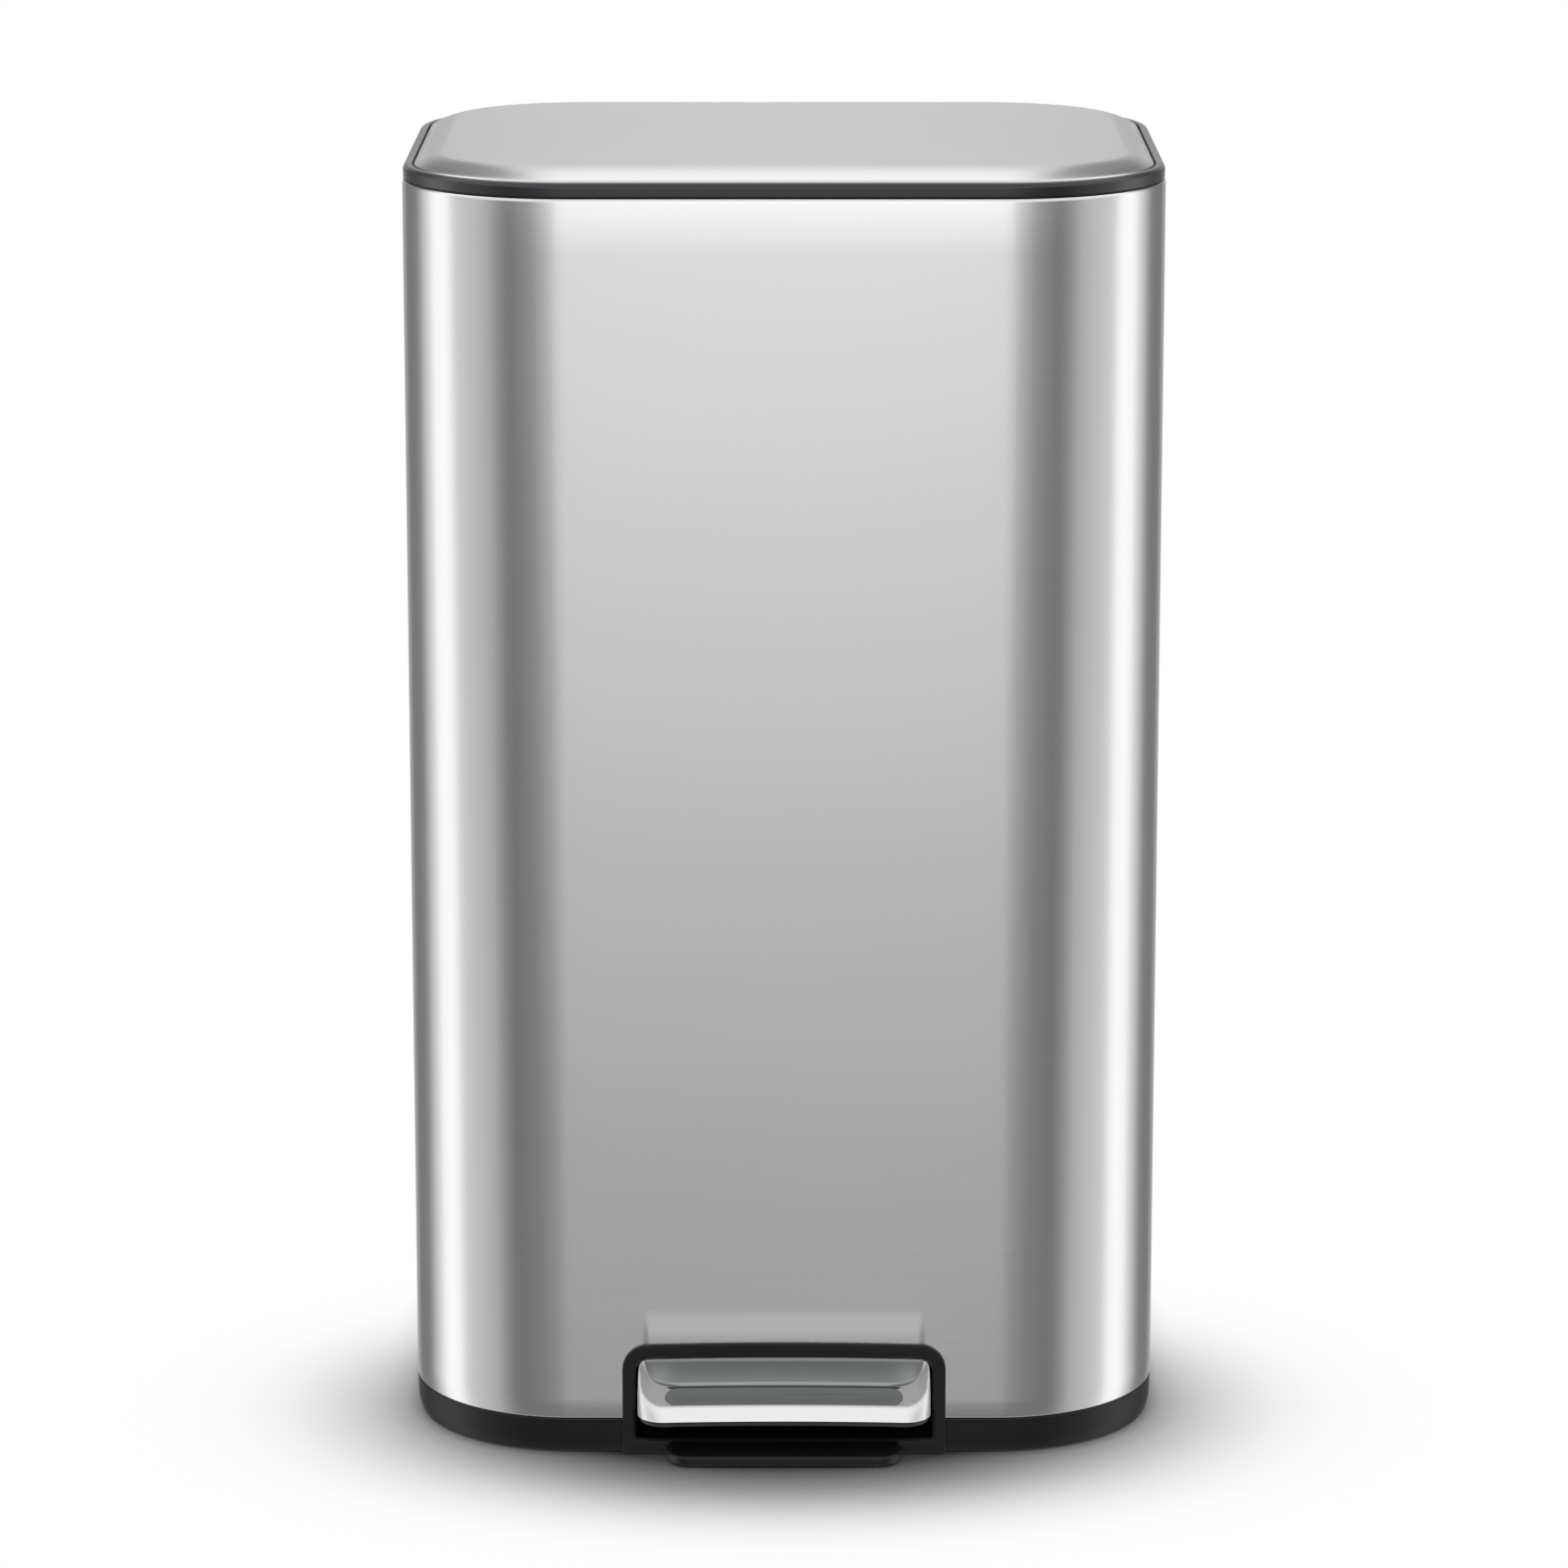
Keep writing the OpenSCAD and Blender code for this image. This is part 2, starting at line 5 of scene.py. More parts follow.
import bmesh
import bpy
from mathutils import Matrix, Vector


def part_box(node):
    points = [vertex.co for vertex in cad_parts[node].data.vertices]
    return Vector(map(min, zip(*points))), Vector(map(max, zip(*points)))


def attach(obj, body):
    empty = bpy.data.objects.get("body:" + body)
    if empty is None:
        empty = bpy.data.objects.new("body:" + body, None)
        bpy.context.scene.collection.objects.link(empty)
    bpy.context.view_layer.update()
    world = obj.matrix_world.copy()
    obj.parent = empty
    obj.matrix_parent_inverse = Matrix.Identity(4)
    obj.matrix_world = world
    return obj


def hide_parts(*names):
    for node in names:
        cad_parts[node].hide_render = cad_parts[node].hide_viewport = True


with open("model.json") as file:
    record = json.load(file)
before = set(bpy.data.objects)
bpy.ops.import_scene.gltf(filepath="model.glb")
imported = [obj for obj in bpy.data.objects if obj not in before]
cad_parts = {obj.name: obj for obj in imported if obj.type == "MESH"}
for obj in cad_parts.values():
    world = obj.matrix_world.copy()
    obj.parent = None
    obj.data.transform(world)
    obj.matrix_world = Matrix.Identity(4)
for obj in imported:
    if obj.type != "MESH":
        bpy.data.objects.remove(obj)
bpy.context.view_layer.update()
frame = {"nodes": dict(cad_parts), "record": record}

MM = 0.001
SHARP = math.radians(35)  # edges between faces that turn more than this stay sharp

# Driving places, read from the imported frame, with the steel's corner radius and thickness
shell_lo, shell_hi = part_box("steel_shell")
HALF_X, HALF_Y = shell_hi.x, shell_hi.y
FRONT = -HALF_Y
CORNER = 87 * MM
SHEET = 0.8 * MM
STEEL_Z0, STEEL_Z1 = shell_lo.z, shell_hi.z
REAR_GAP = 64 * MM  # half the width that the body leaves open behind for the hinge
RECESS_HALF, RECESS_Z0 = 78.8 * MM, 8.8 * MM  # half width and floor of the pedal recess


# ---------------------------------------------------------------- mesh helpers

def track(half_x, half_y, radius, arc=24, side=6, front=None):
    """A rounded rectangle as (base, normal) pairs: the ring at an inset is base + normal * (radius - inset).

    arc and side are the steps of a corner and of a straight side. front lists the front side's own x places.
    """
    cx, cy = half_x - radius, half_y - radius
    corners = [(cx, -cy, -90), (cx, cy, 0), (-cx, cy, 90), (-cx, -cy, 180)]
    points = []
    for i, (x, y, start) in enumerate(corners):
        for k in range(arc + 1):
            a = math.radians(start + 90 * k / arc)
            points.append((Vector((x, y)), Vector((math.cos(a), math.sin(a)))))
        nx, ny = corners[(i + 1) % 4][:2]
        normal = points[-1][1].copy()
        if i == 3 and front:
            points += [(Vector((px, y)), normal) for px in front]
        else:
            points += [(Vector((x, y)).lerp(Vector((nx, ny)), k / side), normal) for k in range(1, side)]
    return points


def ring(points, radius, inset, z, centre_y=0.0):
    """One level ring of 3-D points on a track."""
    flat = [b + n * (radius - inset) for b, n in points]
    return [Vector((p.x, p.y + centre_y, z)) for p in flat]


def fillet(corners, steps=5):
    """Rounds a closed 2-D outline of (a, b, radius) corners."""
    out = []
    count = len(corners)
    for i, (a, b, radius) in enumerate(corners):
        here = Vector((a, b))
        if radius <= 0:
            out.append(here)
            continue
        before = Vector(corners[i - 1][:2]) - here
        after = Vector(corners[(i + 1) % count][:2]) - here
        reach = min(radius, before.length * 0.49, after.length * 0.49)
        start, end = here + before.normalized() * reach, here + after.normalized() * reach
        for k in range(steps + 1):
            t = k / steps
            out.append(start * (1 - t) ** 2 + here * 2 * t * (1 - t) + end * t ** 2)
    return out


def rounded_rectangle(half, low, high, low_r, high_r, arc, upright, level):
    """A 2-D outline from -half to half and from low to high, with its own radii at the low and high corners.

    arc, upright and level are the steps of a corner, of a side and of the low or high edge.
    """
    out = []
    corners = [(1, low, low_r, -90), (1, high, high_r, 0), (-1, high, high_r, 90), (-1, low, low_r, 180)]
    for i, (sign, edge, r, begin) in enumerate(corners):
        centre = sign * (half - r), edge + (r if edge == low else -r)
        for k in range(arc + 1):
            a = math.radians(begin + 90 * k / arc)
            out.append(Vector((centre[0] + r * math.cos(a), centre[1] + r * math.sin(a))))
        sign, edge, r, _ = corners[(i + 1) % 4]
        if i % 2 == 0:
            stop, count = Vector((sign * half, edge + (r if edge == low else -r))), upright
        else:
            stop, count = Vector((sign * (half - r), edge)), level
        start = out[-1].copy()
        out += [start.lerp(stop, k / count) for k in range(1, count)]
    return out


def loft(name, rings, wrap=False, caps=(False, False)):
    """Joins rings of equal length with quads. wrap joins the last ring to the first."""
    mesh = bpy.data.meshes.new(name)
    bm = bmesh.new()
    rows = [[bm.verts.new(p) for p in r] for r in rings]
    n = len(rows[0])
    pairs = list(zip(rows, rows[1:])) + ([(rows[-1], rows[0])] if wrap else [])
    for low, high in pairs:
        for k in range(n):
            bm.faces.new((low[k], low[(k + 1) % n], high[(k + 1) % n], high[k]))
    if caps[0]:
        bm.faces.new(rows[0][::-1])
    if caps[1]:
        bm.faces.new(rows[-1])
    bmesh.ops.remove_doubles(bm, verts=bm.verts, dist=1e-6)
    bmesh.ops.recalc_face_normals(bm, faces=bm.faces)
    bm.to_mesh(mesh)
    bm.free()
    obj = bpy.data.objects.new(name, mesh)
    bpy.context.scene.collection.objects.link(obj)
    return smooth(obj)


def shade_smooth(mesh, angle=SHARP):
    """Smooth shading, with the edges that turn more than the angle kept sharp."""
    for p in mesh.polygons:
        p.use_smooth = True
    mesh.set_sharp_from_angle(angle=angle)


def smooth(obj, angle=SHARP):
    """Smooth shading that keeps flat faces flat."""
    shade_smooth(obj.data, angle)
    weighted = obj.modifiers.new("even_normals", "WEIGHTED_NORMAL")
    weighted.keep_sharp = True
    return obj


def block(x0, x1, y0, y1, z0, z1):
    """A box that cuts other pieces."""
    outline = ((x0, y0), (x1, y0), (x1, y1), (x0, y1))
    return loft("cutter", [[Vector((x, y, z)) for x, y in outline] for z in (z0, z1)], caps=(True, True))


def boolean(obj, cutter):
    """Cuts the cutter out of obj's mesh and removes the cutter."""
    cut = obj.modifiers.new("cut", "BOOLEAN")
    cut.operation, cut.object, cut.solver = "DIFFERENCE", cutter, "EXACT"
    obj.modifiers.move(obj.modifiers.find("cut"), 0)
    bpy.context.view_layer.update()
    graph = bpy.context.evaluated_depsgraph_get()
    for m in obj.modifiers:
        m.show_viewport = m.name == "cut"
    graph.update()
    made = bpy.data.meshes.new_from_object(obj.evaluated_get(graph))
    obj.modifiers.remove(cut)
    for m in obj.modifiers:
        m.show_viewport = True
    obj.data = made
    bpy.data.objects.remove(cutter)
    shade_smooth(obj.data)


def sweep(name, outline):
    """A closed 2-D outline of (inset, z) carried round the body."""
    return loft(name, [ring(BODY_TRACK, CORNER, a, b) for a, b in outline], wrap=True)


def place(obj, body, slot, material, *nodes):
    """Sets material and body, and hides the CAD nodes that a piece stands for. slot is not used."""
    obj.data.materials.clear()
    obj.data.materials.append(material)
    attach(obj, body)
    if nodes:
        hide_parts(*nodes)
    return obj


def thicken(obj, thickness):
    """Gives an open sheet its real thickness, inwards, with plain normals."""
    obj.modifiers.remove(obj.modifiers["even_normals"])
    solid = obj.modifiers.new("sheet", "SOLIDIFY")
    solid.thickness, solid.offset, solid.use_even_offset = thickness, -1.0, True


# ---------------------------------------------------------------- materials

def new_material(name):
    mat = bpy.data.materials.new(name)
    mat.use_nodes = True
    tree = mat.node_tree
    return mat, tree, tree.nodes["Principled BSDF"]


def link(tree, a, b):
    tree.links.new(a, b)


def node(tree, kind, **values):
    made = tree.nodes.new(kind)
    for key, value in values.items():
        setattr(made, key, value)
    return made


def maths(tree, operation, *inputs):
    """A math node, fed with sockets or plain numbers. Gives its output."""
    made = node(tree, "ShaderNodeMath", operation=operation)
    for slot, value in zip(made.inputs, inputs):
        if isinstance(value, bpy.types.NodeSocket):
            link(tree, value, slot)
        else:
            slot.default_value = value
    return made.outputs[0]


def plane_length(tree, a, b):
    """The length of the vector (a, b)."""
    joined = node(tree, "ShaderNodeCombineXYZ")
    link(tree, a, joined.inputs["X"])
    link(tree, b, joined.inputs["Y"])
    length = node(tree, "ShaderNodeVectorMath", operation="LENGTH")
    link(tree, joined.outputs[0], length.inputs[0])
    return length.outputs["Value"]


def split_coordinates(tree, kind):
    """X, Y and Z of a texture coordinate, by the name of that coordinate."""
    spot = node(tree, "ShaderNodeTexCoord")
    parts = node(tree, "ShaderNodeSeparateXYZ")
    link(tree, spot.outputs[kind], parts.inputs[0])
    return parts.outputs


def ramp(tree, factor, stops, interpolation="EASE"):
    """A ramp of (place, grey value) stops over a factor. Gives its colour."""
    made = node(tree, "ShaderNodeValToRGB")
    band = made.color_ramp
    band.interpolation = interpolation
    while len(band.elements) > 1:
        band.elements.remove(band.elements[-1])
    for i, (at, value) in enumerate(stops):
        element = band.elements[0] if i == 0 else band.elements.new(at)
        element.position = at
        element.color = (value, value, value, 1)
    link(tree, factor, made.inputs["Fac"])
    return made.outputs["Color"]


def blend(tree, a, b, factor=1.0, kind="MIX"):
    """Mixes colour a with colour b. Each input is a socket or a plain value."""
    mix = node(tree, "ShaderNodeMix", data_type="RGBA", blend_type=kind)
    for name, value in (("Factor", factor), ("A", a), ("B", b)):
        if isinstance(value, bpy.types.NodeSocket):
            link(tree, value, mix.inputs[name])
        else:
            mix.inputs[name].default_value = value
    return mix.outputs["Result"]


def scaled_noise(tree, scale, detail=3.0):
    """Noise in the object's own space, stretched by a scale per axis."""
    place_node = node(tree, "ShaderNodeTexCoord")
    mapping = node(tree, "ShaderNodeMapping")
    mapping.inputs["Scale"].default_value = scale
    link(tree, place_node.outputs["Object"], mapping.inputs["Vector"])
    noise = node(tree, "ShaderNodeTexNoise")
    noise.inputs["Scale"].default_value = 1.0
    noise.inputs["Detail"].default_value = detail
    noise.inputs["Roughness"].default_value = 0.6
    link(tree, mapping.outputs["Vector"], noise.inputs["Vector"])
    return noise


def ranged(tree, source, low, high, in_low=0.3, in_high=0.7):
    """Maps a value to a range. The limits of the input suit noise unless others are given."""
    mapped = node(tree, "ShaderNodeMapRange")
    mapped.inputs["From Min"].default_value = in_low
    mapped.inputs["From Max"].default_value = in_high
    mapped.inputs["To Min"].default_value = low
    mapped.inputs["To Max"].default_value = high
    link(tree, source, mapped.inputs["Value"])
    return mapped.outputs["Result"]


def grey_mix(tree, factor, dark, light):
    """A colour between two, by a factor."""
    return blend(tree, (*dark, 1), (*light, 1), factor)


def bump(tree, height, distance, strength, shader):
    """Feeds a height into the shader's normal."""
    made = node(tree, "ShaderNodeBump")
    made.inputs["Distance"].default_value = distance
    made.inputs["Strength"].default_value = strength
    link(tree, height, made.inputs["Height"])
    link(tree, made.outputs["Normal"], shader.inputs["Normal"])


def brushed_steel(name, grain, tangent_axis, rough, aniso):
    """Steel with fine straight grain.

    grain is the noise scale per axis: low along the brushing, high across it.
    """
    tone = 0.80
    mat, tree, shader = new_material(name)
    fine = scaled_noise(tree, grain, detail=4.0)
    cloud = scaled_noise(tree, (3, 3, 3), detail=2.0)
    shader.inputs["Metallic"].default_value = 1.0
    shader.inputs["Anisotropic"].default_value = aniso
    shader.inputs["Anisotropic Rotation"].default_value = 0.25 if tangent_axis == "Z" else 0.0
    dark, light = [(tone * k, tone * k, tone * k * 0.995) for k in (0.985, 1.01)]
    link(tree, grey_mix(tree, fine.outputs["Fac"], dark, light), shader.inputs["Base Color"])
    uneven = maths(tree, "ADD", ranged(tree, fine.outputs["Fac"], rough - 0.005, rough + 0.015),
                   ranged(tree, cloud.outputs["Fac"], -0.005, 0.01))
    link(tree, uneven, shader.inputs["Roughness"])
    tangent = node(tree, "ShaderNodeTangent", direction_type="RADIAL", axis=tangent_axis)
    link(tree, tangent.outputs["Tangent"], shader.inputs["Tangent"])
    bump(tree, fine.outputs["Fac"], 0.000006, 0.2, shader)
    return mat


def moulded_plastic(name, colour, rough=0.42, grain=1400.0, depth=0.00004, specular=0.5, coat=0.0):
    """Injection-moulded plastic: a fine spark texture with slight variation of tone and gloss."""
    mat, tree, shader = new_material(name)
    fine = scaled_noise(tree, (grain,) * 3, detail=2.0)
    cloud = scaled_noise(tree, (14, 14, 14))
    pale = tuple(min(1.0, c * 1.18 + 0.002) for c in colour)
    tone = grey_mix(tree, ranged(tree, cloud.outputs["Fac"], 0, 1), colour, pale)
    link(tree, tone, shader.inputs["Base Color"])
    shader.inputs["Specular IOR Level"].default_value = specular
    shader.inputs["Coat Weight"].default_value = coat
    shader.inputs["Coat Roughness"].default_value = 0.16
    uneven = maths(tree, "ADD", ranged(tree, cloud.outputs["Fac"], rough - 0.03, rough + 0.04),
                   ranged(tree, fine.outputs["Fac"], -0.02, 0.02))
    link(tree, uneven, shader.inputs["Roughness"])
    bump(tree, fine.outputs["Fac"], depth, 0.5, shader)
    return mat


def plain_metal(name, tone, rough):
    """Bright drawn or zinc-plated steel for the hidden hardware."""
    mat, tree, shader = new_material(name)
    fine = scaled_noise(tree, (60, 60, 900))
    cloud = scaled_noise(tree, (45, 45, 45))
    shader.inputs["Metallic"].default_value = 1.0
    dark, light = [(tone * k, tone * k, tone * k * 1.01) for k in (0.9, 1.05)]
    stained = grey_mix(tree, ranged(tree, cloud.outputs["Fac"], 0, 1), dark, light)
    link(tree, stained, shader.inputs["Base Color"])
    link(tree, ranged(tree, fine.outputs["Fac"], rough - 0.05, rough + 0.08), shader.inputs["Roughness"])
    bump(tree, fine.outputs["Fac"], 0.00003, 0.3, shader)
    return mat


def pressed_steel():
    """The pedal's satin steel, with painted shade: a darker grey tone on the back wall and on the field sunk
    in its floor, where the recess shades them.
    """
    field_half, field_y, field_r = 53.8, -171.2, 9.5  # mm: the field of painted shade, a slot shape round a line across the floor
    wall_y = -161.95  # mm: the back wall, and the painted shade on it, starts here
    field_edge, wall_edge = 0.2, 0.15  # mm: half the width over which the painted shade fades in
    mat, tree, shader = new_material("steel_pedal")
    fine = scaled_noise(tree, (6, 1800, 1800), detail=4.0)
    x, y, _ = split_coordinates(tree, "Object")
    past = maths(tree, "MAXIMUM", maths(tree, "SUBTRACT", maths(tree, "ABSOLUTE", x), field_half * MM), 0.0)
    reach = plane_length(tree, past, maths(tree, "ADD", y, -field_y * MM))
    # field and wall are masks of painted shade: 1 on the floor's sunk field and on the back wall
    field = ranged(tree, reach, 1.0, 0.0, (field_r - field_edge) * MM, (field_r + field_edge) * MM)
    wall = ranged(tree, y, 0.0, 1.0, (wall_y - wall_edge) * MM, (wall_y + wall_edge) * MM)
    bare = grey_mix(tree, fine.outputs["Fac"], (0.93, 0.93, 0.93), (0.98, 0.98, 0.98))
    # Painted shade: the bare tone turns dark grey wherever either mask is 1
    tone = blend(tree, bare, (0.38, 0.39, 0.395, 1), maths(tree, "MAXIMUM", field, wall))
    link(tree, tone, shader.inputs["Base Color"])
    shader.inputs["Metallic"].default_value = 0.72
    link(tree, ranged(tree, fine.outputs["Fac"], 0.36, 0.42), shader.inputs["Roughness"])
    bump(tree, fine.outputs["Fac"], 0.00001, 0.2, shader)
    return mat


STEEL_BODY = brushed_steel("steel_body", (4, 4, 1600), "Z", rough=0.24, aniso=0.6)
STEEL_LID = brushed_steel("steel_lid", (4, 1600, 4), "X", rough=0.22, aniso=0.5)
STEEL_PEDAL = pressed_steel()
BLACK = moulded_plastic("black_plastic", (0.0075, 0.0075, 0.0085), rough=0.40, specular=0.32)
SURROUND = moulded_plastic("surround_plastic", (0.017, 0.0185, 0.021), rough=0.32, specular=0.4, coat=0.55)
DARK_GREY = moulded_plastic("dark_grey_plastic", (0.030, 0.031, 0.034), rough=0.45)
BUCKET = moulded_plastic("bucket_plastic", (0.045, 0.048, 0.053), rough=0.4, grain=900.0)
RUBBER = moulded_plastic("soft_rubber", (0.022, 0.022, 0.022), rough=0.75, grain=1000.0, depth=0.0001)
NYLON = moulded_plastic("nylon", (0.60, 0.57, 0.48), rough=0.4)
ZINC = plain_metal("zinc_steel", 0.62, 0.34)
BRIGHT = plain_metal("bright_steel", 0.70, 0.22)

SLOT_MATERIAL = {
    "brushed_steel": STEEL_BODY,
    "zinc_steel": ZINC,
    "bright_steel": BRIGHT,
    "black_plastic": BLACK,
    "dark_grey_plastic": DARK_GREY,
    "bucket_plastic": BUCKET,
    "soft_rubber": RUBBER,
    "nylon": NYLON,
}


def dress_cad_nodes():
    """Every CAD node that stays gets softened edges and its slot's material."""
    corner_angle = math.radians(40)
    slots = {s["node"]: s["material_slot"] for s in frame["record"]["subparts"]}
    for name, obj in frame["nodes"].items():
        material = SLOT_MATERIAL[slots[name]]
        obj.data.materials.clear()
        obj.data.materials.append(material)
        weld = obj.modifiers.new("weld", "WELD")
        weld.merge_threshold = 0.005 * MM
        bevel = obj.modifiers.new("soft_edges", "BEVEL")
        bevel.width, bevel.segments = 0.3 * MM, 2
        bevel.limit_method, bevel.angle_limit = "ANGLE", corner_angle
        bevel.use_clamp_overlap = True
        smooth(obj, corner_angle)


# ---------------------------------------------------------------- body pieces

BODY_TRACK = track(HALF_X, HALF_Y, CORNER)


def steel_shell():
    """The steel wrap: a thin sheet with rolled edges, the pedal and rear cut-outs and the pressed relief."""
    notch_x, notch_z = 84 * MM, 59.5 * MM
    relief_x, relief_ramp, relief_out = 75.5 * MM, 4.0 * MM, 0.33 * MM
    relief_z0, relief_z1 = 62.3 * MM, 81 * MM
    rear_z = 615 * MM
    # Columns across the front: coarse inside, fine at the relief's ends, then the cut-out's corners
    inner_cols = [k * 6 * MM for k in range(12)]
    edge_cols = [(71.25 + 0.25 * k) * MM for k in range(0, 19)]
    rounded, seam = 12 * MM, 0.4 * MM
    corner_cols = [notch_x - rounded * k for k in (0.55, 0.4, 0.25, 0.12, 0)]
    half_cols = inner_cols + edge_cols + corner_cols + [notch_x + seam, 92 * MM, 102 * MM]
    front = sorted({-x for x in half_cols if x > 0} | set(half_cols))
    points = track(HALF_X, HALF_Y, CORNER, arc=40, side=8, front=front)
    roll = [(0.75, 0.0), (0.35, 0.10), (0.1, 0.35), (0.0, 0.8)]
    top_roll = [(0.95, 0.0), (0.72, 0.16), (0.45, 0.45), (0.2, 0.95), (0.06, 1.5), (0.0, 2.1)]
    levels = [(a * MM, STEEL_Z0 + b * MM) for a, b in roll]
    levels += [(0, 30 * MM), (0, 40 * MM)]
    levels += [(0, notch_z - rounded * k) for k in (1, 0.85, 0.7, 0.55, 0.4, 0.25, 0.12, 0)]
    levels += [(0, notch_z + seam), (0, 61.2 * MM)]
    levels += [(0, relief_z0 + k * 1.25 * MM) for k in range(16)]
    levels += [(0, z * MM) for z in range(100, 616, 30)] + [(0, rear_z), (0, 645 * MM)]
    levels += [(a * MM, STEEL_Z1 - b * MM) for a, b in reversed(top_roll)]
    rings = []
    for inset, z in levels:
        row = ring(points, CORNER, inset, z)
        if notch_z - 1 * MM < z < relief_z1:
            t = min(1.0, (relief_z1 - z) / (relief_z1 - relief_z0))
            lift = relief_out * t * t * (3 - 2 * t)
            for p in row:
                if p.y < FRONT + 1e-5 and abs(p.x) < relief_x:
                    edge = min(1.0, (relief_x - abs(p.x)) / relief_ramp)
                    p.y -= lift * edge * edge * (3 - 2 * edge)
        rings.append(row)
    obj = loft("steel_wrap", rings)
    bm = bmesh.new()
    bm.from_mesh(obj.data)
    gone = []
    for f in bm.faces:
        c = f.calc_center_median()
        in_notch = c.y < FRONT + 1 * MM and abs(c.x) < notch_x and c.z < notch_z
        in_rear = c.y > HALF_Y - 1 * MM and abs(c.x) < REAR_GAP and c.z > rear_z
        if in_notch or in_rear:
            gone.append(f)
    bmesh.ops.delete(bm, geom=gone, context="FACES")
    # The cut-out's square corners, and the row of points just outside them, are moved on to arcs
    for v in bm.verts:
        for grow in (0.0, seam):
            across, up = abs(v.co.x) - (notch_x - rounded), v.co.z - (notch_z - rounded)
            reach = rounded + grow
            if v.co.y > FRONT + 1 * MM or across <= 0 or up <= 0:
                continue
            if abs(across - reach) < 1e-6 and up < reach + 1e-6:
                a = math.radians(45 * up / reach)
            elif abs(up - reach) < 1e-6 and across < reach:
                a = math.radians(90 - 45 * across / reach)
            else:
                continue
            v.co.x = math.copysign(notch_x - rounded + reach * math.cos(a), v.co.x)
            v.co.z = notch_z - rounded + reach * math.sin(a)
            break
    bm.to_mesh(obj.data)
    bm.free()
    thicken(obj, SHEET)
    return place(obj, "can_body", "brushed_steel", STEEL_BODY, "steel_shell")


def base_ring():
    """The black base moulding: tapered skirt with rounded edges and the wall that carries the steel."""
    lo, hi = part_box("base_ring")
    z0, z1 = lo.z / MM, hi.z / MM
    skirt = STEEL_Z0 / MM
    corners = [
        (1.9, z0 - 1.3, 1.0), (0.4, z0 + 4, 2.5), (0.05, skirt - 0.6, 0.5), (1.0, skirt - 0.1, 0.1),
        (1.15, skirt + 0.3, 0.1), (1.15, z1, 0.4), (3.3, z1, 0.4), (3.3, z0 - 1.3, 0.3),
    ]
    outline = [(a * MM, b * MM) for a, b in fillet(corners, 4)]
    obj = sweep("base_skirt", outline)
    cut_half = 80.9 * MM
    boolean(obj, block(-cut_half, cut_half, FRONT - 20 * MM, 0, -10 * MM, 100 * MM))
    return place(obj, "can_body", "black_plastic", BLACK, "base_ring")


def front_ring(half_w, z0, z1, top_r, low_r, y, arch=0.0):
    """A rectangle in the front plane with its own upper and lower corner radii and a slightly arched top."""
    middle, reach = (z0 + z1) / 2, (z1 - z0) / 2

    def rise(p):
        return arch * (1 - (p.x / half_w) ** 2) * max(0.0, (p.y - middle) / reach)

    outline = rounded_rectangle(half_w, z0, z1, low_r, top_r, arc=10, upright=24, level=24)
    return [Vector((p.x, y, p.y + rise(p))) for p in outline]


def pedal_bezel():
    """The bezel round the pedal with its recess box behind, as one moulding."""
    lo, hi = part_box("pedal_housing")
    face, steel = lo.y, FRONT - 0.05 * MM
    half, z0, z1 = hi.x, 0.7 * MM, hi.z - 1.2 * MM
    corner, foot_corner = 13.5 * MM, 0.6 * MM
    inner_half, inner_z0, inner_z1 = RECESS_HALF, RECESS_Z0, 52.4 * MM
    wall, under, roof_z = 2 * MM, 1.9 * MM, 55.4 * MM
    inner_corner, rear_corner, low_corner = 7 * MM, 3 * MM, 1.6 * MM
    arch, soft, step = 1.5 * MM, 0.9 * MM, 1.5 * MM

    def shape(grow, y):
        return front_ring(
            inner_half + grow, inner_z0 - grow, inner_z1 + grow, inner_corner + grow, low_corner + grow, y,
            arch * 0.9)

    rings = [front_ring(half, z0, z1, corner, foot_corner, steel, arch)]
    for k in range(5):
        a = math.radians(90 * k / 4)
        back, inward = soft * (1 - math.sin(a)), soft * (1 - math.cos(a))
        rings.append(front_ring(
            half - inward, z0 + inward, z1 - inward, corner - inward, max(0.2 * MM, foot_corner - inward),
            face + back, arch))
    rings += [shape(step + 0.5 * MM, face), shape(step, face + 0.15 * MM), shape(0.3 * MM, face + 1.1 * MM)]
    rings += [shape(0.0, face + 1.6 * MM), shape(0.0, FRONT + 4 * MM)]
    depth = hi.y - 2 * MM
    rings.append(front_ring(inner_half, inner_z0, inner_z1 + 1.0 * MM, rear_corner, low_corner, depth))
    for y in (hi.y, steel):
        rings.append(front_ring(inner_half + wall, inner_z0 - under, roof_z, rear_corner, low_corner, y))
    obj = loft("bezel_and_recess", rings, wrap=True)
    tongue_half, tongue_room = 61.2 * MM, 7.2 * MM
    boolean(obj, block(-tongue_half, tongue_half, -200 * MM, FRONT - 0.2 * MM, -10 * MM, tongue_room))
    return place(obj, "can_body", "black_plastic", BLACK)


def recess_back():
    """Back wall of the pedal recess with the slot that the lever passes through."""
    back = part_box("pedal_housing")[1].y
    front = back - 2 * MM
    half, z0, z1 = RECESS_HALF, RECESS_Z0, 53.5 * MM
    slot_x, slot_z0, slot_z1 = 18 * MM, 12 * MM, 46 * MM
    outer = [(-half, z0), (half, z0), (half, z1), (-half, z1)]
    inner = [(-slot_x, slot_z0), (slot_x, slot_z0), (slot_x, slot_z1), (-slot_x, slot_z1)]
    rings = [
        [Vector((x, front, z)) for x, z in outer],
        [Vector((x, front, z)) for x, z in inner],
        [Vector((x, back, z)) for x, z in inner],
        [Vector((x, back, z)) for x, z in outer],
    ]
    obj = loft("recess_back_wall", rings, wrap=True)
    return place(obj, "can_body", "black_plastic", BLACK)


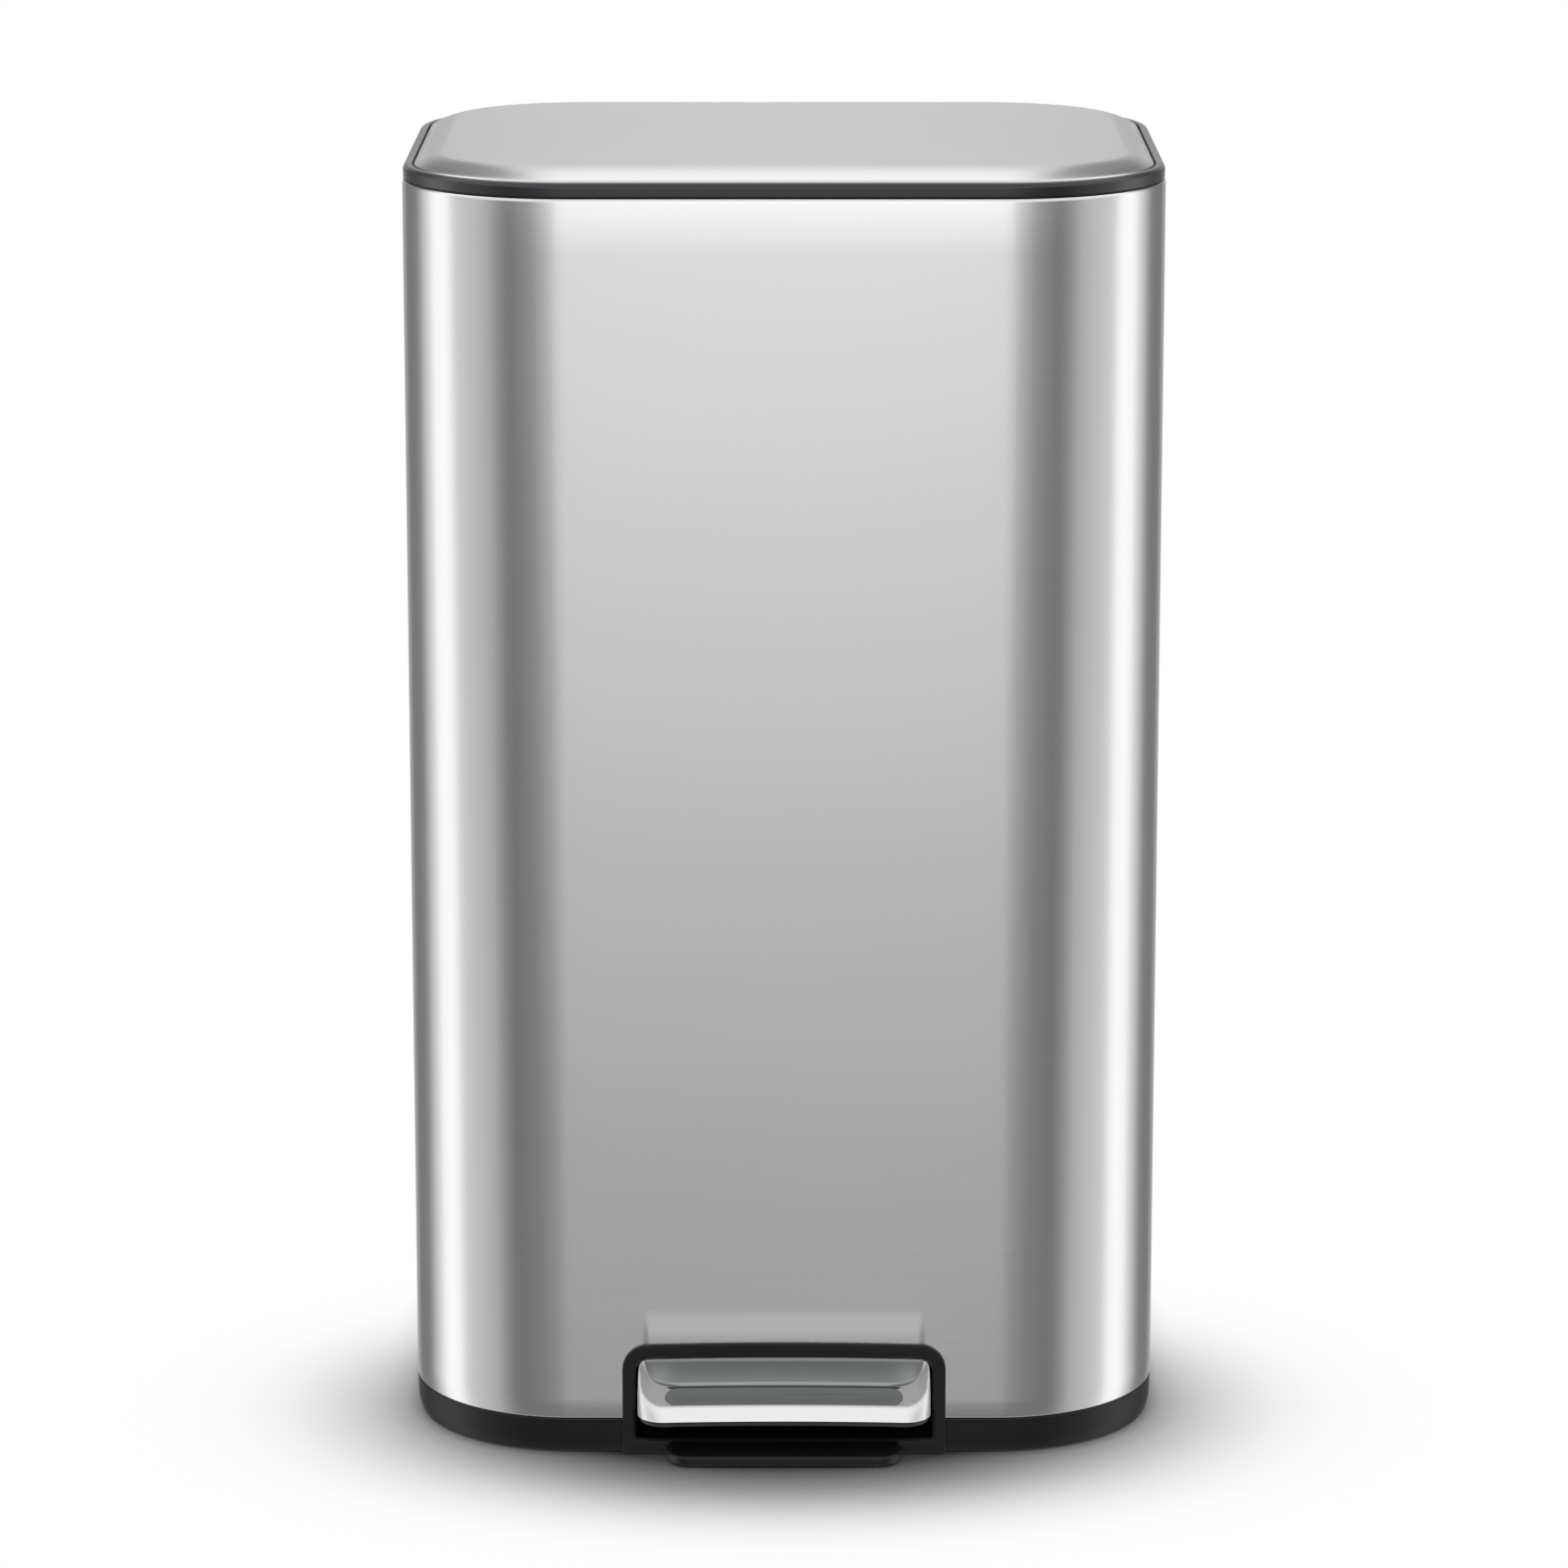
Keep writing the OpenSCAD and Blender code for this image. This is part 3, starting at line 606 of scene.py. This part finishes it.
def tongue():
    """The flat foot under the pedal, with rounded corners and a soft top edge."""
    lo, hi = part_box("anti_tip_foot")
    half_x, half_y, centre = hi.x, (hi.y - lo.y) / 2, (hi.y + lo.y) / 2
    radius = 10 * MM
    points = track(half_x, half_y, radius, arc=12)
    levels = [(0.8, 0), (0.25, 0.25), (0, 0.8), (0, 3.3), (0.3, 4.2), (0.9, 4.8), (1.7, 5.0)]
    rings = [ring(points, radius, a * MM, lo.z + b * MM, centre) for a, b in levels]
    obj = loft("floor_tongue", rings, caps=(True, True))
    return place(obj, "can_body", "black_plastic", BLACK, "anti_tip_foot")


def collar():
    """The plastic collar inside the steel's top edge, open behind for the hinge."""
    lo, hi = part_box("top_collar")
    top, bottom, steel = hi.z / MM, lo.z / MM, STEEL_Z1 / MM
    corners = [
        (1.0, bottom, 0.3), (1.0, steel, 0), (0.9, steel + 0.05, 0), (0.9, top, 0.5),
        (3.8, top, 0.9), (3.8, bottom, 0.3),
    ]
    outline = [(a * MM, b * MM) for a, b in fillet(corners, 4)]
    obj = sweep("rim_collar", outline)
    boolean(obj, block(-REAR_GAP, REAR_GAP, HALF_Y - 12 * MM, HALF_Y + 20 * MM, 600 * MM, 700 * MM))
    return place(obj, "can_body", "black_plastic", BLACK)


# ---------------------------------------------------------------- lid pieces

def lid_surround():
    """Dark ring round the steel cap, with a rounded shoulder and a rebate for the cap."""
    lo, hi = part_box("lid_surround")
    z0, z1 = lo.z / MM, hi.z / MM
    corners = [
        (0.5, z0 - 0.8, 0.25), (0.4, z1 - 1.6, 1.2), (2.4, z1, 1.4), (5.2, z1 - 0.1, 0.5),
        (5.3, z0 + 3.2, 0.2), (14.0, z0 + 3.2, 0.3), (14.0, z0, 0.4), (1.0, z0, 0.1), (0.85, z0 - 0.8, 0.1),
    ]
    outline = [(a * MM, b * MM) for a, b in fillet(corners, 6)]
    obj = sweep("lid_frame", outline)
    return place(obj, "lid", "dark_grey_plastic", SURROUND, "lid_surround")


def lid_cap():
    """The pressed steel cap: short skirt, tight lower bend, soft bevel (wide in front), slight crown."""
    lo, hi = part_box("lid_cover")
    z0, top = lo.z / MM, hi.z / MM
    start = (HALF_X - hi.x) / MM
    side_bevel, front_bevel, skirt, steps = 14.0, 31.0, 2.4, 14
    points = track(HALF_X, HALF_Y, CORNER, arc=40, side=12)
    lower_bend = [(0, 0), (0, skirt), (0.12, skirt + 0.5), (0.45, skirt + 0.85), (0.95, skirt + 1.1)]
    crease = top - z0 - 1.5

    def cap_ring(run, across, height):
        """Ring at a fixed inset plus a share of the bevel, whose width depends on the way the edge faces."""
        out = []
        for b, n in points:
            width = side_bevel * n.x ** 2 + (front_bevel if n.y < 0 else side_bevel) * n.y ** 2
            spot = b + n * (CORNER - (start + run + across * width) * MM)
            out.append(Vector((spot.x, spot.y, (z0 + height) * MM)))
        return out

    rings = [cap_ring(a, 0, b) for a, b in lower_bend]
    run, low = lower_bend[-1]
    for k in range(1, steps + 1):
        t = k / steps
        rings.append(cap_ring(run, t, low + (crease - low) * (1 - (1 - t) ** 1.8)))
    last = rings[-1]
    for k in range(1, steps + 1):
        s = 1 - k / (steps + 1)
        rise = (top - z0 - crease) * MM * (1 - s * s)
        rings.append([Vector((p.x * s, p.y * s, p.z + rise)) for p in last])
    obj = loft("lid_cap", rings, caps=(False, True))
    thicken(obj, SHEET)
    return place(obj, "lid", "brushed_steel", STEEL_LID, "lid_cover")


def lid_panel():
    """The moulded panel under the lid: stepped border, shallow raised field and the hinge arm's cut-out."""
    lo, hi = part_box("lid_liner")
    low, high = lo.z / MM, hi.z / MM
    rim = (HALF_X - hi.x) / MM
    points = track(HALF_X, HALF_Y, CORNER, arc=32, side=10)
    profile = [
        (rim + 1.5, high), (rim + 0.3, high - 0.2), (rim, high - 0.7), (rim, low + 1.6),
        (rim + 0.3, low + 0.6), (rim + 1.2, low), (rim + 7.5, low), (rim + 8.6, low + 0.3),
        (rim + 9.6, low + 1.3), (rim + 11, low + 1.9), (rim + 24, low + 1.9), (rim + 26, low + 1.6),
        (rim + 27.5, low + 0.9), (rim + 29.5, low + 0.6), (rim + 34, low + 0.6), (rim + 50, low + 0.6),
    ]
    rings = [ring(points, CORNER, a * MM, b * MM) for a, b in profile]
    obj = loft("lid_inner_panel", rings, caps=(True, True))
    gap, depth = 64.5 * MM, 137.5 * MM
    boolean(obj, block(-gap, gap, depth, 200 * MM, 660 * MM, 690 * MM))
    return place(obj, "lid", "dark_grey_plastic", DARK_GREY, "lid_liner")


# ---------------------------------------------------------------- bucket and hinge cover

def bucket():
    """The lift-out bucket: a tapered thin shell with a rolled rim, a rounded foot and two hand slots."""
    lo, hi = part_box("inner_bucket")
    half_x, half_y, centre = hi.x, (hi.y - lo.y) / 2, (hi.y + lo.y) / 2
    z0, z1 = lo.z / MM, hi.z / MM
    taper, wall, corner = 8.0, 2.0, 76 * MM
    points = track(half_x, half_y, corner, arc=24, side=8)

    def lean(z):
        return taper * (z1 - z) / (z1 - z0)

    outer = [(taper + 9, z0), (taper + 3.2, z0 + 0.9), (taper + 0.8, z0 + 3.0), (taper, z0 + 7)]
    outer += [(lean(z), z) for z in (120, 200, 300, 400, 500, 560, 600, 625, z1 - 9)]
    rim = [(0.5, z1 - 6), (0.1, z1 - 4.5), (0.0, z1 - 1.2), (0.35, z1 - 0.35), (1.1, z1)]
    rim += [(2.1, z1 - 0.3), (2.5, z1 - 1.0)]
    inner = [(wall + lean(z), z) for z in (z1 - 9, 625, 600, 560, 500, 400, 300, 200, 120)]
    inner += [(wall + taper + a, z0 + b) for a, b in ((0, 9), (1.0, 4.6), (3.6, 2.6), (9, 2))]
    rings = [ring(points, corner, a * MM, b * MM, centre) for a, b in outer + rim + inner]
    obj = loft("waste_bucket", rings, caps=(True, True))
    corners = ((-45, 614), (35, 614), (35, 634), (-45, 634))
    slot = fillet([(y * MM, z * MM, 8 * MM) for y, z in corners])
    rows = [[Vector((x, p.x, p.y)) for p in slot] for x in (-300 * MM, 300 * MM)]
    boolean(obj, loft("cutter", rows, caps=(True, True)))
    return place(obj, "bucket", "bucket_plastic", BUCKET, "inner_bucket")


def hinge_cover():
    """The rear hinge housing: a rounded moulding with a soft outer edge, open above for the arms."""
    lo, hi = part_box("hinge_housing")
    half, z0, z1 = hi.x, lo.z, hi.z
    wall_y, back = lo.y, hi.y
    soft, wall, past = 4 * MM, 2.5 * MM, 10 * MM
    draft, steps = 0.15 * MM, 6

    def outside(inset, y):
        return front_ring(half - inset, z0 + inset, z1 - inset * 0.2, 2 * MM, 9 * MM - inset * 0.5, y)

    def inside(y):
        return front_ring(half - 3 * MM, z0 + 3 * MM, z1 - 3 * MM, 1 * MM, 6 * MM, y)

    rings = [inside(back - wall), inside(wall_y), outside(0.0, wall_y), outside(draft, back - soft)]
    for k in range(1, steps + 1):
        a = math.radians(90 * k / steps)
        rings.append(outside(draft + soft * (1 - math.cos(a)), back - soft + soft * math.sin(a)))
    obj = loft("hinge_cover", rings, caps=(True, True))
    # Open above
    boolean(obj, block(-REAR_GAP, REAR_GAP, wall_y - past, back - wall, z1 - 4 * MM, z1 + past))
    # Slots for the lid's arms
    arm_x, arm_room, arm_z = 45 * MM, 7 * MM, 662 * MM
    for x in (-arm_x, arm_x):
        boolean(obj, block(x - arm_room, x + arm_room, wall_y - past, back + 20 * MM, arm_z, z1 + past))
    # Room for the screw heads
    screw_x, screw_z, screw_r, screw_sink = 60 * MM, 606 * MM, 4.6 * MM, 4 * MM
    turns = [k * math.pi / 12 for k in range(24)]
    for x in (-screw_x, screw_x):
        rows = [[Vector((x + screw_r * math.cos(a), y, screw_z + screw_r * math.sin(a))) for a in turns]
                for y in (back - screw_sink, back + past)]
        boolean(obj, loft("cutter", rows, caps=(True, True)))
    return place(obj, "can_body", "black_plastic", BLACK)


# ---------------------------------------------------------------- pedal pieces

PAN_SHEET = 1.0 * MM
PAN_HALF, PAN_ARCH = 78 * MM, 1.0 * MM


def tray_ring(half, front, back, front_r, back_r, height):
    """Ring of the pedal: a rounded rectangle, in mm, with its own front and back radii. height(y) gives z."""
    sizes = [v * MM for v in (half, front, back, front_r, back_r)]
    outline = rounded_rectangle(*sizes, arc=14, upright=12, level=28)
    return [Vector((p.x, p.y, height(p.y) + PAN_ARCH * (1 - (p.x / PAN_HALF) ** 2))) for p in outline]


def pedal_tread():
    """The pressed pedal: a tray with a sloping lip in front, rims that rise to the back and a sunk floor."""
    crest_y, floor_y, back_y = -184.6 * MM, -182 * MM, -160.6 * MM
    lip_z, floor_z, crest_z, top_z = 24.1 * MM, 29.8 * MM, 31.3 * MM, 52.0 * MM
    floor_slope = 0.28

    def rim(y):
        return crest_z + (y - crest_y) * (top_z - crest_z) / (back_y - crest_y)

    def bottom(y):
        return floor_z + (y - floor_y) * floor_slope

    def between(t):
        return lambda y: bottom(y) + t * (rim(y) - bottom(y))

    def outer(t, low):
        return lambda y: lip_z + t * (rim(y) - low * MM - lip_z)

    # Half width, front y, back y, front radius, back radius and height of each ring, from below the lip,
    # up the outside, over the rim and down the inside to the floor
    rows = [
        (76.6, -186.0, -160.4, 13.6, 6.0, lambda y: lip_z + 0.1 * MM),
        (77.5, -187.1, -159.6, 14.6, 6.8, lambda y: lip_z),
        (77.9, -187.45, -159.3, 15.0, 7.0, lambda y: lip_z + 0.35 * MM),
        (77.9, -187.25, -159.3, 15.0, 7.0, outer(0.16, 0.4)),
        (77.9, -186.85, -159.4, 14.8, 7.0, outer(0.36, 0.4)),
        (77.9, -186.3, -159.5, 14.5, 6.9, outer(0.58, 0.4)),
        (77.8, -185.55, -159.8, 14.1, 6.7, outer(0.80, 0.4)),
        (77.65, -184.95, -160.1, 13.8, 6.5, outer(0.93, 0.3)),
        (77.3, -184.4, -160.6, 13.4, 5.6, rim),
        (76.9, -183.9, -161.2, 13.0, 4.8, lambda y: rim(y) - 0.15 * MM),
        (76.2, -183.4, -161.6, 12.5, 3.6, between(0.93)),
        (75.0, -182.95, -161.4, 11.9, 2.6, between(0.80)),
        (73.8, -182.6, -161.0, 11.2, 2.4, between(0.62)),
        (72.6, -182.3, -160.7, 10.6, 2.4, between(0.45)),
        (71.3, -182.0, -160.5, 10.0, 2.8, between(0.31)),
        (69.9, -181.7, -160.4, 9.7, 3.4, between(0.20)),
        (68.0, -181.4, -160.4, 9.4, 4.6, between(0.115)),
        (65.6, -181.2, -160.6, 9.2, 6.6, between(0.045)),
        (63.7, -181.0, -161.1, 9.3, 9.1, between(0.003)),
        (62.9, -180.3, -161.9, 9.1, 9.0, lambda y: bottom(y) + 0.1 * MM),
        (59.3, -176.8, -165.4, 5.4, 5.3, lambda y: bottom(y) + 0.5 * MM),
        (55.6, -173.1, -169.1, 1.7, 1.6, lambda y: bottom(y) + 0.55 * MM),
    ]
    obj = loft("pedal_pan", [tray_ring(*row) for row in rows], caps=(False, True))
    thicken(obj, PAN_SHEET)
    return place(obj, "pedal", "brushed_steel", STEEL_PEDAL, "pedal_tread")


def pedal_underside():
    """The plastic under the pan, following the pan's outline just inside its edge."""

    def level(z):
        """A level, raised by 1.2 mm behind y -172 to leave the toe's space free."""
        return lambda y: (z + 1.2 * min(1.0, max(0.0, (y / MM + 180) / 8))) * MM

    def behind(z):
        """A level that climbs behind y -175, below the pan's back wall."""
        return lambda y: (z + max(0.0, (y / MM + 175) * 0.9)) * MM

    # The same columns, from the middle of the bottom, out and up
    rows = [
        (60.0, -178.0, -164.0, 6.0, 5.0, level(22.0)),
        (73.0, -182.6, -157.5, 11.5, 5.0, level(21.8)),
        (75.6, -185.2, -156.0, 14.0, 6.0, level(21.4)),
        (76.7, -186.3, -155.4, 14.6, 6.4, level(21.55)),
        (77.2, -186.8, -155.2, 14.8, 6.6, level(22.1)),
        (77.3, -186.8, -155.3, 14.6, 6.5, level(23.2)),
        (76.6, -186.0, -158.6, 13.9, 5.6, level(24.0)),
        (73.0, -182.0, -162.6, 10.0, 5.0, behind(24.6)),
        (66.0, -179.0, -166.0, 8.0, 5.0, behind(25.2)),
    ]
    obj = loft("pedal_underside", [tray_ring(*row) for row in rows], caps=(True, True))
    return place(obj, "pedal", "dark_grey_plastic", DARK_GREY, "pedal_carrier")


# ---------------------------------------------------------------- stage, light and camera

def floor():
    """A wide pale floor that glows, with a painted soft elliptical shadow under the can and a painted darker
    contact line.
    """
    size, sunk = 14.0, 0.0002
    shadow_x, shadow_y, shadow_centre = 0.207, 0.1565, -0.0807  # half axes of the painted shadow, and its centre's y
    mesh = bpy.data.meshes.new("floor")
    corners = [(-size, -size, 0), (size, -size, 0), (size, size, 0), (-size, size, 0)]
    mesh.from_pydata(corners, [], [(0, 1, 2, 3)])
    obj = bpy.data.objects.new("floor", mesh)
    bpy.context.scene.collection.objects.link(obj)
    obj.location.z = -sunk
    mat = bpy.data.materials.new("floor_white_painted_shadow")
    mat.use_nodes = True
    tree = mat.node_tree
    tree.nodes.clear()
    x, y, _ = split_coordinates(tree, "Object")
    # Painted shadow: the glow darkens with the distance inside an ellipse round the can's foot
    across = maths(tree, "DIVIDE", x, shadow_x)
    along = maths(tree, "MULTIPLY_ADD", y, 1 / shadow_y, -shadow_centre / shadow_y)
    shades = [(0.68, 0.05), (0.8, 0.17), (0.9, 0.28), (1.0, 0.43), (1.1, 0.60), (1.2, 0.75), (1.3, 0.86),
              (1.4, 0.93), (1.5, 0.975), (1.65, 0.995), (1.85, 1.0)]
    half_reach = maths(tree, "MULTIPLY", plane_length(tree, across, along), 0.5)
    soft = ramp(tree, half_reach, [(at / 2, v) for at, v in shades], "LINEAR")
    # Painted contact shade: darker still where ambient occlusion finds the can within 22 mm
    occlusion = node(tree, "ShaderNodeAmbientOcclusion", samples=32)
    occlusion.inputs["Distance"].default_value = 0.022
    contact = ramp(tree, occlusion.outputs["AO"], [(0.0, 0.10), (0.4, 0.5), (0.75, 0.92), (1.0, 1.0)])
    glow = node(tree, "ShaderNodeEmission")
    link(tree, blend(tree, soft, contact, kind="MULTIPLY"), glow.inputs["Color"])
    out = node(tree, "ShaderNodeOutputMaterial")
    link(tree, glow.outputs["Emission"], out.inputs["Surface"])
    mesh.materials.append(mat)
    obj.visible_glossy = False
    obj.visible_diffuse = False


def sine(degrees):
    """An elevation as a place on a ramp: 0 straight down, 1 straight up."""
    return (math.sin(math.radians(degrees)) + 1) / 2


def studio():
    """The room that the steel reflects: soft tall panels and dark gaps round the object, bright overhead.

    Azimuths run from 0 (straight ahead of the object) to 180 (behind it), the same on both sides. Elevations
    run from -90 to 90. The camera itself sees plain white.
    """
    world = bpy.data.worlds.new("studio")
    bpy.context.scene.world = world
    world.use_nodes = True
    tree = world.node_tree
    tree.nodes.clear()
    x, y, z = split_coordinates(tree, "Generated")
    azimuth = maths(tree, "ARCTAN2", maths(tree, "ABSOLUTE", x), maths(tree, "MULTIPLY", y, -1.0))
    turn = maths(tree, "DIVIDE", azimuth, math.pi)
    height = ranged(tree, z, 0.0, 1.0, -1.0, 1.0)

    def by_azimuth(*stops):
        return ramp(tree, turn, [(at / 180, v) for at, v in stops])

    def by_elevation(*stops, interpolation="EASE"):
        return ramp(tree, height, [(sine(at), v) for at, v in stops], interpolation)

    # The panels beside and behind, and one in front that falls off towards the floor
    side = by_azimuth(
        (0, 0.0), (10, 0.02), (20, 0.10), (28, 0.15), (42, 0.16), (50, 0.30), (58, 0.52), (72, 0.62),
        (84, 0.72), (92, 1.25), (106, 1.25), (114, 0.75), (130, 0.22), (148, 0.20), (164, 0.50), (180, 0.64))
    front = by_azimuth((0, 1), (4, 0.9), (14, 0.45), (26, 0.12), (40, 0.0))
    fall = by_elevation(
        (-90, 0.30), (-40, 0.20), (-30, 0.15), (-25, 0.13), (-21, 0.14), (-18, 0.20), (-15, 0.35),
        (-12, 0.60), (-9, 0.98), (-6, 1.42), (-2, 1.68), (3, 1.7), (30, 1.3), (90, 1.2),
        interpolation="LINEAR")
    walls = blend(tree, blend(tree, front, fall, kind="MULTIPLY"), side, kind="ADD")

    # A dark gap high up behind the object
    gap_azimuth = by_azimuth((0, 0), (140, 0), (154, 1), (174, 1), (178, 0))
    gap_elevation = by_elevation((-90, 0), (13, 0), (22, 1))
    gap = maths(tree, "MULTIPLY", gap_azimuth, gap_elevation)
    walls = blend(tree, walls, (0.2, 0.2, 0.2, 1), gap)

    # The floor's bounce light
    bounce = by_elevation((-62, 1), (-28, 0))
    walls = blend(tree, walls, (0.45, 0.45, 0.45, 1), bounce)

    # The ceiling, which starts higher up behind the object than in front of it
    edge = by_azimuth(
        (0, 0.0), (60, 0.0), (95, 0.1), (120, 0.2), (150, 0.24), (172, 0.24), (177, 0.1), (180, 0.1))
    overhead = ramp(tree, maths(tree, "SUBTRACT", height, edge), [(sine(14) - 0.1, 0), (sine(34) - 0.1, 1)])
    zenith = by_elevation((46, 1.2), (66, 0.8))
    toward = by_azimuth((0, 0.84), (60, 0.84), (120, 1.0))
    room = blend(tree, walls, blend(tree, zenith, toward, kind="MULTIPLY"), overhead)

    seen = node(tree, "ShaderNodeLightPath")
    room_light = node(tree, "ShaderNodeBackground")
    link(tree, room, room_light.inputs["Color"])
    white = node(tree, "ShaderNodeBackground")
    white.inputs["Color"].default_value = (1, 1, 1, 1)
    pick = node(tree, "ShaderNodeMixShader")
    link(tree, seen.outputs["Is Camera Ray"], pick.inputs["Fac"])
    link(tree, room_light.outputs[0], pick.inputs[1])
    link(tree, white.outputs[0], pick.inputs[2])
    out = node(tree, "ShaderNodeOutputWorld")
    link(tree, pick.outputs[0], out.inputs["Surface"])


def camera():
    """The view from straight ahead, a little above the lid, through a long lens."""
    distance, height, pitch = 3.082, 1.087, 12.43
    data = bpy.data.cameras.new("camera")
    data.sensor_width = 36
    data.lens = 139.5
    data.shift_y = -0.049
    data.clip_end = 100
    obj = bpy.data.objects.new("camera", data)
    bpy.context.scene.collection.objects.link(obj)
    obj.location = (0, FRONT - distance, height)
    obj.rotation_euler = (math.radians(90 - pitch), 0, 0)
    bpy.context.scene.camera = obj
    bpy.context.scene.view_settings.view_transform = "Standard"


dress_cad_nodes()
steel_shell()
base_ring()
bezel = pedal_bezel()
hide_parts("pedal_housing")
recess_back()
tongue()
rim = collar()
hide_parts("top_collar")
lid_surround()
lid_cap()
lid_panel()
bucket()
hinge = hinge_cover()
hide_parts("hinge_housing")
pedal_tread()
pedal_underside()
floor()
studio()
camera()
